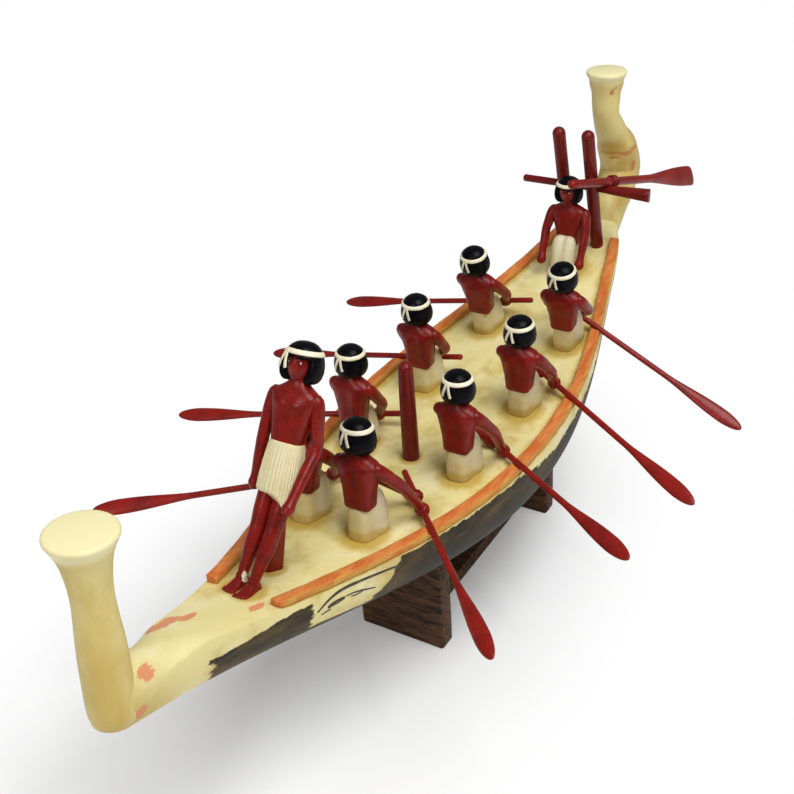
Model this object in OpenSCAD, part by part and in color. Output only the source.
// Model boat with rowers, lookout and steersman on a wooden stand.
// Millimetres. +X points to the bow, +Y to port, +Z up. Z = 0 is the table.

/* [Hull] */
// Half of the greatest breadth at deck level
beam_half = 58; // [54:1:62]
// Half of the breadth where the deck runs into the end pieces
end_half = 9.5; // [8.5:0.5:11]
// Height of the deck amidships above the table
deck_low = 104; // [98:1:112]
// Height of the hull's underside at its lowest point
keel_low = 42; // [36:1:48]
// Rise of the deck at its fore end
fore_rise = 37; // [33:1:41]
// Rise of the deck at the steering posts
aft_rise = 22.5; // [20:0.5:25]
// Distance between the axes of the two end pieces
finial_span = 466; // [452:2:480]

/* [Rails] */
// Width of a gunwale rail
rail_w = 6.5; // [5.5:0.5:8]
// Height of a gunwale rail above the deck
rail_h = 4; // [3.5:0.5:5]
// Place of the rails' fore ends
rail_fore = 160; // [150:1:170]
// Distance of the rails' aft ends behind the origin
rail_aft = 206; // [202:1:210]

/* [End pieces] */
// Radius of the flared disc on top of an end piece
disc_r = 13.5; // [12:0.5:15]
// Height of the bow end piece
bow_finial_h = 85.5; // [80:0.5:92]
// Height of the stern end piece above its joint
stern_finial_h = 103.5; // [99:0.5:108]
// Radius of an end piece's waist
waist_r = 7; // [6:0.5:8]
// Radius of the dowel that holds an end piece
dowel_r = 2.5; // [2:0.25:3]

/* [Crew] */
// Height of a seated figure from deck to crown
sit_h = 59; // [55:1:62]
// Height of the standing lookout from deck to crown
stand_h = 105; // [98:1:112]
// Angle by which the lookout leans aft
lookout_lean = 27; // [20:1:30]
// Place of the lookout's feet along the boat
lookout_x = 149; // [145:1:153]
// Place of the foremost row of rowers
row_fore = 90; // [86:1:94]
// Distance from row to row
row_pitch = 66; // [64:1:70]
// Distance of a rower's middle from the hull's edge
seat_inset = 24; // [22:0.5:27]
// Place of the steersman behind the origin
steersman_aft = 177; // [174:1:178]
// Radius of the peg under each figure
figure_peg_r = 2; // [1.5:0.25:2.5]
// Radius of the peg at each shoulder
arm_peg_r = 1.1; // [0.9:0.1:1.4]

/* [Oars] */
// Radius of a rowing oar's shaft
oar_r = 1.6; // [1.4:0.1:1.9]
// Length of an oar outboard of its rail
oar_out = 95; // [88:1:102]
// Length of an oar inboard of its rail
oar_in = 42; // [38:1:44]
// Length of an oar's blade
blade_len = 50; // [44:1:54]
// Width of an oar's blade
blade_w = 8; // [6.5:0.5:10]
// Thickness of an oar's blade
blade_t = 3.6; // [3.4:0.2:4.4]
// How far aft of its rower an oar crosses the rail
exit_lead = 16; // [15.5:0.5:19]
// Radius of a fist
fist_r = 3.3; // [3.1:0.1:3.6]

/* [Mast and steering gear] */
// Height of the mast above the deck
mast_h = 56; // [50:1:62]
// Radius of the mast at its foot
mast_r = 4.4; // [3.8:0.2:5]
// Place of the mast along the boat
mast_x = 21; // [18:1:24]
// Height of a steering post above the deck
post_h = 85; // [81:1:89]
// Radius of a steering post
post_r = 3.9; // [3.5:0.1:4.4]
// Distance of a steering post from the centreline
post_y = 9.2; // [8.5:0.1:10]
// Place of the crossbeam behind the origin
post_aft = 191; // [190:0.5:194]
// Angle by which the steering posts lean to the bow
post_lean = 14; // [10:1:17]
// Height of the crossbeam's axis above the deck
beam_up = 45.5; // [43:0.5:48]
// Radius of the crossbeam in the posts
beam_r = 2.2; // [1.9:0.1:2.5]
// Radius of the crossbeam's thick port end
beam_end_r = 4; // [3.4:0.1:4.4]
// Reach of the crossbeam to port
beam_port = 47; // [42:1:50]
// Reach of the crossbeam to starboard
beam_starboard = 36; // [32:1:40]
// Radius of the steering oar's loom
loom_r = 2.6; // [2.3:0.1:2.9]
// Length of the steering oar forward of the crossbeam
loom_fore = 40; // [36:1:42]
// Length of the steering oar aft of the crossbeam
loom_aft = 110; // [104:1:116]
// Width of the steering oar's blade
rudder_w = 13; // [11:0.5:15]

/* [Stand] */
// Half of a trestle's width
trestle_half = 25.5; // [22:0.5:28]
// Thickness of a trestle
trestle_t = 11; // [9:0.5:13]
// Place of the fore trestle's front face
trestle_fore_x = 42; // [36:1:48]
// Distance between the two trestles, centre to centre
trestle_span = 132; // [124:1:140]
// Width of the stretcher between the trestles
stretcher_w = 16; // [12:0.5:20]
// Height of the stretcher
stretcher_h = 9.5; // [8:0.5:12]

/* [Hidden] */
$fn = 48;

// Fits: a peg in its hole, a turning or sliding shaft, a figure on the deck, the hull on its stand
peg_gap = 0.05;
run_gap = 0.08;
seat_gap = 0.15;
rest_gap = 0.3;
peg_depth = 8;

// Hull lines
finial_x = finial_span / 2;
beam_x = -20;
fore_run = 260;
aft_run = 246;
aft_full = 1.05;
aft_end_half = end_half + 7.5;
tail_x = -190;
tail_run = 40;
tail_narrow = 7.2;
deck_x = 10;
fore_rise_run = 212;
aft_rise_run = 197;
fore_power = 2.3;
aft_power = 2.37;
keel_x = -60;
fore_keel_rise = 74;
aft_keel_rise = 78;
fore_keel_flat = 0.35;
aft_keel_flat = 0.8;
section_power = 2.2;
hull_stations = 44;
section_steps = 14;
hull_end = 3;

// Rowers: how each oar points, as degrees swept to the bow and dipped at the tip, row by row,
// and how far it is slipped outboard in its rower's fists
rows = [1, 2, 3, 4];
port_sweep = [45, 32, 26, 7];
port_dip = [0, -1, 11, 23];
port_slip = [-4, -4, 0, 6];
starboard_sweep = [38, 16, 0, 0];
starboard_dip = [2, 6, 12, 12];
starboard_slip = [0, 0, 0, 0];
port_inset = [0.5, 0.5, 1.4, -5.5];
starboard_inset = [-1.5, 0.5, 6.5, 1.5];
rower_lean = [0, 0, 3, 7];
// How far each port rower lists to port, in degrees
port_list = [-3, 0, 2, 3.3];
oar_lift = 0.6;
blade_tilt = 35;
outer_grip = 13;
inner_grip = 24;

// Steering oar's direction
loom_turn = 169;
loom_dip = 16;
rudder_len = 58;
rudder_t = 3.4;
collar_w = 5;
collar_wall = 1.3;

// Limbs
ring_sides = 14;
arm_sides = 8;
arm_r = 2.8;
chest_half = 7.6;
shoulder_y = chest_half + arm_r + 0.2;

function half(x) =
    let (u = abs(x - beam_x), fore = x > beam_x)
    let (turn = 90 * pow(u / (fore ? fore_run : aft_run), fore ? 1 : aft_full))
    let (least = fore ? end_half : aft_end_half)
    least + (beam_half - least) * pow(cos(turn), 2) - tail_narrow * pow(max(0, tail_x - x) / tail_run, 2);
function deck(x) =
    let (u = x - deck_x)
    deck_low + (u > 0 ? fore_rise * pow(u / fore_rise_run, fore_power)
                      : aft_rise * pow(-u / aft_rise_run, aft_power));
// A curve from 0 to 1 that starts level, for longer as flat grows, and then runs nearly straight
function ease(t, flat) = (sqrt(t * t + flat * flat) - flat) / (sqrt(1 + flat * flat) - flat);
function keel(x) =
    x > keel_x ? keel_low + fore_keel_rise * ease((x - keel_x) / (finial_x - keel_x), fore_keel_flat)
               : keel_low + aft_keel_rise * ease((keel_x - x) / (finial_x + keel_x), aft_keel_flat);
function sign_power(v, p) = sign(v) * pow(abs(v), p);

// A closed cross-section of the hull, swelled by a gap
function hull_section(x, gap) =
    [for (i = [0 : section_steps])
        let (turn = 180 - 180 * i / section_steps, p = 2 / section_power)
        [x, (half(x) + gap) * sign_power(cos(turn), p),
         deck(x) - (deck(x) - keel(x) + gap) * pow(abs(sin(turn)), p)]];

// An oval ring round a figure, at one height
function oval(centre, rx, ry, z, power) =
    [for (i = [0 : ring_sides - 1])
        let (turn = 360 * i / ring_sides, p = 2 / power)
        [centre[0] + rx * sign_power(cos(turn), p), centre[1] + ry * sign_power(sin(turn), p), z]];

// The same ring laid on the deck
function on_deck(ring) = [for (p = ring) [p[0], p[1], deck(p[0]) + seat_gap]];

function unit(v) = v / norm(v);
// A round ring square to a direction
function round_ring(p, along, r, sides) =
    let (u = unit(cross([0, 1, 0], along)), v = cross(unit(along), u))
    [for (i = [0 : sides - 1]) let (turn = 360 * i / sides) p + r * (cos(turn) * u + sin(turn) * v)];

// A solid through rings that have the same number of points
module loft(rings) {
    n = len(rings[0]);
    m = len(rings);
    points = [for (ring = rings) for (p = ring) p];
    sides = [for (j = [0 : m - 2]) for (i = [0 : n - 1])
        let (a = j * n + i, b = j * n + (i + 1) % n)
        each [[a, a + n, b + n], [a, b + n, b]]];
    ends = [[for (i = [0 : n - 1]) i], [for (i = [n - 1 : -1 : 0]) (m - 1) * n + i]];
    polyhedron(points, concat(sides, ends));
}

// An upright peg whose top is at a height
module peg(x, y, top, r, length) {
    translate([x, y, top - length]) cylinder(r = r, h = length);
}

// Row geometry
function row_x(row) = row_fore - (row - 1) * row_pitch;
function seat_y(row, side) =
    side * (half(row_x(row)) - seat_inset - (side > 0 ? port_inset : starboard_inset)[row - 1]);
// The angle by which a figure square to the deck leans to the bow
function deck_tilt(x) = atan((deck(x - 4) - deck(x + 4)) / 8);
function rower_tilt(row) = deck_tilt(row_x(row)) + rower_lean[row - 1];
function rower_list(row, side) = side > 0 ? port_list[row - 1] : 0;
function sweep(row, side) = (side > 0 ? port_sweep : starboard_sweep)[row - 1];
function dip(row, side) = (side > 0 ? port_dip : starboard_dip)[row - 1];
function slip(row, side) = (side > 0 ? port_slip : starboard_slip)[row - 1];
function exit_x(row) = row_x(row) - exit_lead;
function exit_point(row, side) =
    let (x = exit_x(row)) [x, side * (half(x) - rail_w / 2), deck(x) + rail_h + oar_lift];
function oar_along(row, side) =
    let (s = sweep(row, side), d = dip(row, side))
    [sin(s) * cos(d), side * cos(s) * cos(d), -sin(d)];
function grip_point(row, side, inboard) = exit_point(row, side) - inboard * oar_along(row, side);

module along_oar(row, side) {
    translate(exit_point(row, side))
        rotate([0, dip(row, side), side * (90 - sweep(row, side))])
            children();
}

// A shaft along +X between two places
module shaft(r, from, to) {
    translate([from, 0, 0]) rotate([0, 90, 0]) cylinder(r = r, h = to - from);
}

// Hull
hull_fore_x = finial_x + hull_end;
hull_aft_x = hull_end - finial_x;
module hull_body(gap) {
    loft([for (i = [0 : hull_stations])
        hull_section(hull_aft_x + (hull_fore_x - hull_aft_x) * i / hull_stations, gap)]);
}
rail_peg_r = 1;
rail_peg_places = [for (i = [0 : 4]) -rail_aft + 14 + (rail_fore + rail_aft - 28) * i / 4];
rail_peg_sink = 5;
module at_rail_pegs(side) {
    for (x = rail_peg_places)
        translate([x, side * (half(x) - rail_w / 2), deck(x)]) children();
}
module carved_hull() {
    color("ivory") difference() {
        hull_body(0);
        bow_envelope(peg_gap);
        finial_dowel(bow_dowel, dowel_r + peg_gap);
        finial_dowel(stern_dowel, dowel_r + peg_gap);
        for (side = [-1, 1]) {
            at_rail_pegs(side)
                translate([0, 0, -rail_peg_sink]) cylinder(r = rail_peg_r + peg_gap, h = rail_peg_sink + 1);
            for (row = rows) socket(row_x(row), seat_y(row, side), figure_peg_r);
            along_post(side) post_tenon(post_tenon_r + peg_gap, 6, peg_depth + peg_gap);
        }
        socket(mast_x, 0, mast_tenon_r);
        socket(-steersman_aft, 0, figure_peg_r);
        for (foot = lookout_feet) socket(foot[0], foot[1], foot_peg_r);
    }
}
// An upright hole in the deck for a peg
module socket(x, y, r) {
    peg(x, y, deck(x) + 3, r + peg_gap, peg_depth + 3 + peg_gap);
}

// Bow end piece: its profile as radius and height, from heel to disc
bow_heel = deck_low + 17;
bow_lean = 4;
bow_heel_x = finial_x + bow_finial_h * sin(bow_lean);
function bow_profile(gap) = [
    [0, -gap], [6 + gap, -gap], [9 + gap, 3], [10.4 + gap, 12], [10 + gap, 28], [8.8 + gap, 40],
    [waist_r + 0.6 + gap, 50], [waist_r + gap, 58], [waist_r + 1 + gap, bow_finial_h - 18],
    [waist_r + 3 + gap, bow_finial_h - 9], [disc_r - 0.6 + gap, bow_finial_h - 3],
    [disc_r + gap, bow_finial_h - 1.5], [disc_r - 0.5 + gap, bow_finial_h], [0, bow_finial_h]];
module bow_envelope(gap) {
    translate([bow_heel_x, 0, bow_heel]) rotate([0, -bow_lean, 0]) rotate_extrude() polygon(bow_profile(gap));
}

// Stern end piece: places of its rings behind and above the joint, and their radii
stern_joint = [hull_aft_x, 0, (deck(hull_aft_x) + keel(hull_aft_x)) / 2];
stern_path = [
    [0.1, 0, 11.4], [12.4, 11.1, 11.8], [23.8, 20.8, 12.6], [31.6, 31.9, 13], [24.7, 47.1, 12.6],
    [13.1, 61.6, waist_r + 3.2], [3.5, stern_finial_h - 28, waist_r + 1.9],
    [2.6, stern_finial_h - 16, waist_r + 2.5], [2.6, stern_finial_h - 7, disc_r - 1.9],
    [2.2, stern_finial_h - 1.8, disc_r], [2.2, stern_finial_h, disc_r - 0.5]];
function stern_at(i) = stern_joint + [-stern_path[i][0], 0, stern_path[i][1]];
stern_last = len(stern_path) - 1;
function stern_along(i) =
    i == 0 ? [-1, 0, 0] : i > stern_last - 3 ? [0, 0, 1] : stern_at(i + 1) - stern_at(i - 1);

// Level dowels from the end pieces into the hull's ends, as centre, length aft and length forward
dowel_len = 14;
dowel_out = 5;
bow_dowel = [[bow_heel_x - 11, 0, bow_heel + 12], dowel_len, dowel_out];
stern_dowel = [stern_joint, dowel_out + 3, dowel_len];
module finial_dowel(place, r) {
    translate(place[0]) shaft(r, -place[1], place[2]);
}
module bow_finial() {
    color("cornsilk") difference() {
        bow_envelope(0);
        finial_dowel(bow_dowel, dowel_r + peg_gap);
    }
}
module stern_finial() {
    color("cornsilk") difference() {
        loft([for (i = [0 : stern_last]) round_ring(stern_at(i), stern_along(i), stern_path[i][2], 20)]);
        finial_dowel(stern_dowel, dowel_r + peg_gap);
    }
}
module finial_dowels() {
    color("burlywood") {
        finial_dowel(bow_dowel, dowel_r);
        finial_dowel(stern_dowel, dowel_r);
    }
}

// Gunwale rails, with a groove for each oar
rail_stations = 26;
rail_gap = 0.1;
rail_round = 1;
function rail_section(x, side) =
    let (mid = side * (half(x) - rail_w / 2), edge = rail_w / 2)
    let (low = deck(x) + rail_gap, top = deck(x) + rail_h)
    [for (p = [[-edge, low], [edge, low], [edge, top - rail_round], [edge - rail_round, top],
               [rail_round - edge, top], [-edge, top - rail_round]])
        [x, mid + p[0], p[1]]];
module rail(side) {
    color("chocolate") difference() {
        loft([for (i = [0 : rail_stations])
            rail_section(-rail_aft + (rail_fore + rail_aft) * i / rail_stations, side)]);
        for (row = rows)
            along_oar(row, side) shaft(oar_r + rest_gap, -3 * rail_w, 3 * rail_w);
        at_rail_pegs(side) translate([0, 0, -1]) cylinder(r = rail_peg_r + peg_gap, h = rail_h - 0.5);
    }
}
module rail_pegs() {
    color("burlywood")
        for (side = [-1, 1])
            at_rail_pegs(side) translate([0, 0, -rail_peg_sink + peg_gap])
                cylinder(r = rail_peg_r, h = rail_peg_sink + rail_h - 1.6);
}

// Mast and steering gear
// The outline of a rounded top, as radius and height
function round_top(r, h) = [for (turn = [0 : 18 : 90]) [r * cos(turn), h - r + r * sin(turn)]];
mast_tenon_r = mast_r - 1.4;
mast_top_r = mast_r - 0.6;
module mast() {
    foot = deck(mast_x) + seat_gap;
    color("firebrick") {
        translate([mast_x, 0, foot]) rotate_extrude()
            polygon(concat([[0, 0], [mast_r, 0]], round_top(mast_top_r, mast_h)));
        peg(mast_x, 0, foot + 1, mast_tenon_r, peg_depth + 1);
    }
}
post_tenon_r = post_r - 1.2;
beam_z = deck(-post_aft) + beam_up;
// How far below the crossbeam a leaning post meets the deck
function post_reach(guess) = (beam_z - deck(-post_aft - guess * sin(post_lean))) / cos(post_lean);
post_foot = post_reach(post_reach(post_reach(beam_up)));
module along_post(side) {
    translate([-post_aft, side * post_y, beam_z]) rotate([0, post_lean, 0]) children();
}
module post_tenon(r, up, down) {
    translate([0, 0, -post_foot - down]) cylinder(r = r, h = down + up);
}
// The space under a stretch of the deck
module under_deck(from, to) {
    xs = [for (i = [0 : 6]) from + (to - from) * i / 6];
    rotate([90, 0, 0]) linear_extrude(height = 2 * beam_half, center = true)
        polygon(concat([for (x = xs) [x, deck(x) + 2 * seat_gap]], [[to, keel_low], [from, keel_low]]));
}
module steering_post(side) {
    foot_x = -post_aft - post_foot * sin(post_lean);
    full_h = post_h + post_foot - beam_up + 4;
    color("firebrick") difference() {
        union() {
            difference() {
                along_post(side) translate([0, 0, -post_foot - 4]) rotate_extrude()
                    polygon(concat([[0, 0], [post_r, 0]], round_top(post_r, full_h)));
                under_deck(foot_x - 12, foot_x + 12);
            }
            along_post(side) post_tenon(post_tenon_r, 4, peg_depth);
        }
        translate([-post_aft, 0, beam_z])
            rotate([90, 0, 0]) cylinder(r = beam_r + peg_gap, h = 4 * post_y, center = true);
    }
}
beam_taper_y = post_y + post_r + 1;
module crossbeam() {
    color("firebrick") difference() {
        translate([-post_aft, 0, beam_z]) rotate([-90, 0, 0]) {
            translate([0, 0, -beam_starboard]) cylinder(r = beam_r, h = beam_starboard + beam_taper_y);
            translate([0, 0, beam_taper_y])
                cylinder(r1 = beam_r, r2 = beam_end_r, h = beam_port - beam_taper_y);
        }
        translate([-post_aft, beam_port, beam_z])
            rotate([0, 0, 18]) translate([-2 * beam_end_r, 0, -2 * beam_end_r]) cube(4 * beam_end_r);
        along_loom() shaft(loom_r + rest_gap, -2 * loom_r, 4 * loom_r);
    }
}
loom_y = post_y + post_r + loom_r + 2.5;
loom_point = [-post_aft, loom_y, beam_z + beam_r + loom_r];
collar_start = beam_r + 2.2;
module along_loom() {
    translate(loom_point) rotate([0, loom_dip, loom_turn]) children();
}
module loom_collar() {
    color("indianred") along_loom() difference() {
        shaft(loom_r + collar_wall, collar_start, collar_start + collar_w);
        shaft(loom_r + run_gap, collar_start - 1, collar_start + collar_w + 1);
    }
}
function flat_ring(x, w, t, sides) =
    [for (i = [0 : sides - 1]) let (turn = 360 * i / sides) [x, w * cos(turn), t * sin(turn)]];
module steering_oar() {
    start = loom_aft - rudder_len;
    color("firebrick") along_loom() {
        shaft(loom_r, -loom_fore, start + 4);
        rotate([70, 0, 0]) loft([for (i = [0 : 6])
            let (t = i / 6)
            flat_ring(start + rudder_len * t, loom_r - 0.3 + (rudder_w / 2 - loom_r + 0.3) * sin(90 * t),
                loom_r - 0.3 + (rudder_t / 2 - loom_r + 0.3) * t, 12)]);
    }
}

// Rowing oars
blade_full = 0.7;
function blade_half(t) =
    t < blade_full ? oar_r - 0.2 + (blade_w / 2 - oar_r + 0.2) * sin(90 * t / blade_full)
                   : blade_w / 2 * sqrt(1 - pow((t - blade_full) / (1 - blade_full), 2));
blade_steps = [0, 0.15, 0.3, 0.45, 0.6, 0.75, 0.86, 0.94, 0.985];
module oar(row, side) {
    start = oar_out - blade_len;
    color("firebrick") along_oar(row, side) translate([slip(row, side), 0, 0]) {
        shaft(oar_r, -oar_in, start + 6);
        rotate([side * blade_tilt, 0, 0])
            loft([for (t = blade_steps)
                flat_ring(start + blade_len * t, blade_half(t), min(blade_t / 2, blade_half(t) * 0.9), 12)]);
    }
}

// Seated figures. The rings run from the seat to the crown; way is 1 facing the bow and -1 facing the stern.
// Every place on a figure is given from its seat and leans with it
function tilted(p, x, tilt, list = 0) =
    [x + p[0] * cos(tilt) + p[2] * sin(tilt), p[1] + p[2] * sin(list),
     deck(x) - p[0] * sin(tilt) + p[2] * cos(tilt)];
function tilted_ring(ring, x, tilt, list = 0) = [for (p = ring) tilted(p, x, tilt, list)];
// A kilt's ring, narrower behind
kilt_taper = 0.32;
function wedged(ring, y, way, taper) =
    [for (p = ring) let (back = min(1, max(0, (4 - way * p[0]) / 12)))
        [p[0], y + (p[1] - y) * (1 - taper * back), p[2]]];
function sitter_rings(x, y, way, tilt, list) =
    let (s = sit_h / 58)
    let (shapes = [
        [1.6, 9.9, 10, 0, 4], [1.6, 9.9, 10, 6, 4], [1.4, 9.6, 9.8, 14 * s, 3.6],
        [-0.5, 8, 8.8, 18.5 * s, 3], [-1, 5.2, 6.4, 20 * s, 2.6], [-1, 5.8, chest_half, 32 * s, 2.8],
        [-1, 5.6, chest_half, 38 * s, 2.8], [-0.5, 4.4, 6, 40.5 * s, 2.4], [0, 3.4, 3.4, 41.5 * s, 2],
        [0, 3.4, 3.4, 44.6 * s, 2], [0, 7.4, 7.8, 45 * s, 2.4], [0, 8.4, 8.6, 49 * s, 2.4],
        [0, 8.3, 8.4, 55.6 * s, 2.2], [0, 6.2, 6.3, 57.2 * s, 2], [0, 3, 3, sit_h, 2]])
    let (rings = [for (i = [0 : len(shapes) - 1])
        let (r = shapes[i], ring = oval([way * r[0], y], r[1], r[2], r[3], r[4]))
        tilted_ring(wedged(ring, y, way, i < 4 ? kilt_taper : 0), x, tilt, list)])
    [for (i = [0 : len(rings) - 1]) i == 0 ? on_deck(rings[0]) : rings[i]];
function sitter_shoulder(x, y, way, hand_side, tilt, list = 0) =
    tilted([-way, y + hand_side * shoulder_y, 36.5 * sit_h / 58], x, tilt, list);
arm_peg_in = 4.5;
module shoulder_peg(shoulder, hand_side, r) {
    translate(shoulder) rotate([90 * hand_side, 0, 0]) cylinder(r = r, h = arm_r + 0.2 + arm_peg_in);
}
module sitter(x, y, way, tilt, list = 0) {
    color("saddlebrown") difference() {
        union() {
            loft(sitter_rings(x, y, way, tilt, list));
            peg(x, y, deck(x) + 3, figure_peg_r, peg_depth + 3);
        }
        for (hand_side = [-1, 1])
            shoulder_peg(sitter_shoulder(x, y, way, hand_side, tilt, list), hand_side,
                arm_peg_r + peg_gap);
    }
}

// An arm from shoulder to hand, with its peg at the shoulder
function arm_rings(shoulder, elbow, hand, r) =
    let (upper = elbow - shoulder, fore = hand - elbow, bend = unit(upper) + unit(fore), grip = unit(fore))
    [round_ring(shoulder - 2.2 * unit(upper), upper, r * 0.55, arm_sides),
     round_ring(shoulder - unit(upper), upper, r * 0.92, arm_sides),
     round_ring(shoulder + 0.3 * upper, upper, r, arm_sides),
     round_ring(shoulder + 0.7 * upper, upper, r * 0.92, arm_sides),
     round_ring(elbow, bend, r * 0.86, arm_sides),
     round_ring(elbow + 0.4 * fore, fore, r * 0.82, arm_sides),
     round_ring(hand - fist_r * 1.05 * grip, fore, r * 0.7, arm_sides),
     round_ring(hand - fist_r * 0.6 * grip, fore, fist_r * 0.9, arm_sides),
     round_ring(hand, fore, fist_r, arm_sides),
     round_ring(hand + fist_r * 0.65 * grip, fore, fist_r * 0.78, arm_sides),
     round_ring(hand + fist_r * 0.95 * grip, fore, fist_r * 0.35, arm_sides)];
module arm(shoulder, elbow, hand, hand_side) {
    loft(arm_rings(shoulder, elbow, hand, arm_r));
    shoulder_peg(shoulder, hand_side, arm_peg_r);
}

// Rowers face the stern. outward is 1 for the arm nearer the rail and -1 for the other
elbow_out = 3;
elbow_fore = 9;
elbow_up = 23.5;
module rower(row, side) {
    sitter(row_x(row), seat_y(row, side), -1, rower_tilt(row), rower_list(row, side));
}
module rower_arm(row, side, outward) {
    x = row_x(row);
    hand_side = side * outward;
    tilt = rower_tilt(row);
    shoulder = sitter_shoulder(x, seat_y(row, side), -1, hand_side, tilt, rower_list(row, side));
    hand = grip_point(row, side, outward > 0 ? outer_grip : inner_grip);
    reach = (hand - shoulder) * 0.45;
    elbow = [min(shoulder[0] + reach[0], x - elbow_fore + elbow_up * sin(tilt)),
        shoulder[1] + reach[1] * 0.6 + hand_side * elbow_out, deck(x) + elbow_up];
    color("saddlebrown") difference() {
        arm(shoulder, elbow, hand, hand_side);
        along_oar(row, side) shaft(oar_r + run_gap, -oar_in - 10, 0);
    }
}

// Steersman, facing the bow with a hand on each knee
module steersman_body() {
    sitter(-steersman_aft, 0, 1, 0);
}
module steersman_arm(side) {
    x = -steersman_aft;
    shoulder = sitter_shoulder(x, 0, 1, side, 0);
    elbow = [x + 4, side * (shoulder_y + 2.2), deck(x) + 26];
    hand = [x + 12, side * (shoulder_y + 1.8), deck(x) + 9.5];
    color("saddlebrown") arm(shoulder, elbow, hand, side);
}

// Lookout, facing the bow and leaning aft, with a strut from the deck to the back of the legs
foot_peg_r = 1.2;
foot_len = 14;
foot_half = 3.4;
foot_h = 4.5;
stance = 4.4;
lookout_feet = [[lookout_x + 8, -stance - 3.2, -stance], [lookout_x + 9.5, stance - 3, stance]];
strut_base = [[-9.2, -7], [-9.2, -2.5], [-16.5, 1.2], [-16.5, -5]];
strut_top = [[-14.5, -4], [-14.5, 4], [-24.4, 4], [-24.4, -4]];
strut_up = 36;
lookout_list = 1.7;
function lean(p) = tilted(p, lookout_x, -lookout_lean, lookout_list);
function lookout_rings() =
    let (s = stand_h / 105)
    [for (r = [[0, 7.9, 9.2, 41, 2.6], [0, 7.4, 8.9, 50, 2.6], [0, 6.2, 8, 61, 2.5], [0, 5.2, 7.2, 63, 2.5],
               [0, 6, chest_half + 0.4, 75, 2.6], [0, 5.6, chest_half + 0.4, 82.5, 2.6], [0, 4.4, 6, 86, 2.4],
               [0, 3.6, 3.6, 87.2, 2], [0, 3.6, 3.6, 90.2, 2], [0, 8.6, 9, 90.6, 2.4], [0, 9.4, 9.7, 95, 2.4],
               [0, 9.2, 9.4, 102, 2.2], [0, 6.8, 7, 104, 2], [0, 3, 3, 105, 2]])
        tilted_ring(oval([r[0], 0], r[1], r[2], r[3] * s, r[4]), lookout_x, -lookout_lean, lookout_list)];
module lookout_leg(foot) {
    s = stand_h / 105;
    hip = lean([0, foot[2], 44 * s]);
    knee = lean([1 + (foot[0] - lookout_x) * 0.35, (foot[1] + foot[2]) / 2, 24 * s]);
    ankle = [foot[0] - 4, foot[1], deck(foot[0] - 4) + foot_h * 0.6];
    shin = knee - ankle;
    loft([round_ring(ankle, shin, 2.6, 10), round_ring(ankle + 0.25 * shin, shin, 2.9, 10),
        round_ring(ankle + 0.7 * shin, shin, 3.6, 10), round_ring(knee, hip - ankle, 3.6, 10),
        round_ring(hip, hip - knee, 4, 10)]);
    loft([for (t = [0, 0.15, 0.5, 0.85, 1])
        let (x = foot[0] - 8 + foot_len * t, w = foot_half * (t < 0.1 ? 0.6 : t > 0.9 ? 0.8 : 1))
        let (low = deck(x) + seat_gap, top = low + foot_h * (t < 0.1 ? 0.8 : 1 - 0.62 * t))
        [for (p = [[-w, low], [w, low], [w * 0.7, top], [-w * 0.7, top]]) [x, foot[1] + p[0], p[1]]]]);
    peg(foot[0], foot[1], deck(foot[0]) + 1.5, foot_peg_r, peg_depth + 1.5);
}
module lookout_strut() {
    loft([[for (p = strut_base) let (x = lookout_x + p[0]) [x, p[1], deck(x) + seat_gap]],
        [for (p = strut_top) [lookout_x + p[0], p[1], deck(lookout_x) + strut_up * stand_h / 105]]]);
}
function lookout_shoulder(side) = lean([0, side * (shoulder_y + 0.4), 80.5 * stand_h / 105]);
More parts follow.
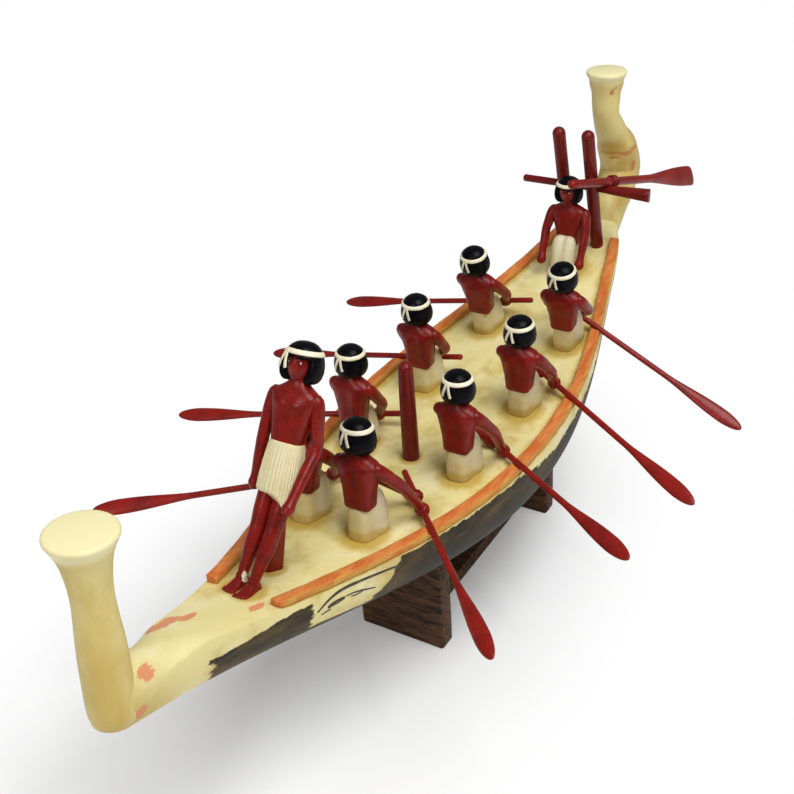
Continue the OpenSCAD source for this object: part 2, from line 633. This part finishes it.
module lookout_body() {
    color("saddlebrown") difference() {
        union() {
            loft(lookout_rings());
            for (foot = lookout_feet) lookout_leg(foot);
            lookout_strut();
        }
        for (side = [-1, 1]) shoulder_peg(lookout_shoulder(side), side, arm_peg_r + peg_gap);
    }
}
module lookout_arm(side) {
    s = stand_h / 105;
    color("saddlebrown")
        arm(lookout_shoulder(side),
            lean(side > 0 ? [-4.5, shoulder_y + 1.2, 62 * s] : [-0.3, -shoulder_y - 4, 62 * s]),
            lean(side > 0 ? [9.4, shoulder_y + 1.8, 38 * s] : [-3.5, -shoulder_y - 4.7, 40.3 * s]), side);
}

// Stand: two trestles cut to the hull's underside, and a stretcher let into both
trestle_aft_x = trestle_fore_x - trestle_span;
trestle_top = deck_low - 34;
module trestle(front_x, inward) {
    mid = front_x - trestle_t / 2;
    color("sienna") difference() {
        translate([front_x - trestle_t, -trestle_half, 0]) cube([trestle_t, 2 * trestle_half, trestle_top]);
        hull_body(rest_gap);
        translate([inward > 0 ? mid - peg_gap : mid - trestle_t, -stretcher_w / 2 - peg_gap, -1])
            cube([trestle_t + peg_gap, stretcher_w + 2 * peg_gap, stretcher_h + peg_gap + 1]);
    }
}
module trestle_fore() { trestle(trestle_fore_x, -1); }
module trestle_aft() { trestle(trestle_aft_x, 1); }
module stretcher() {
    color("sienna")
        translate([trestle_aft_x - trestle_t / 2, -stretcher_w / 2, 0])
            cube([trestle_span, stretcher_w, stretcher_h]);
}

trestle_fore();
trestle_aft();
stretcher();
carved_hull();  // hull
bow_finial();
stern_finial();
rail(1);  // rail_port
rail(-1);  // rail_starboard
rail_pegs();
finial_dowels();
mast();
steering_post(1);  // steering_post_port
steering_post(-1);  // steering_post_starboard
crossbeam();
loom_collar();
steering_oar();
lookout_body();
lookout_arm(1);  // lookout_arm_port
lookout_arm(-1);  // lookout_arm_starboard
steersman_body();
steersman_arm(1);  // steersman_arm_port
steersman_arm(-1);  // steersman_arm_starboard
side_names = ["port", "starboard"];
for (row = rows, side_name = side_names) {
    side = side_name == "port" ? 1 : -1;
    rower_name = str("rower_", side_name, "_", row);
    rower(row, side);
    rower_arm(row, side, -1);
    rower_arm(row, side, 1);
    oar(row, side);
}
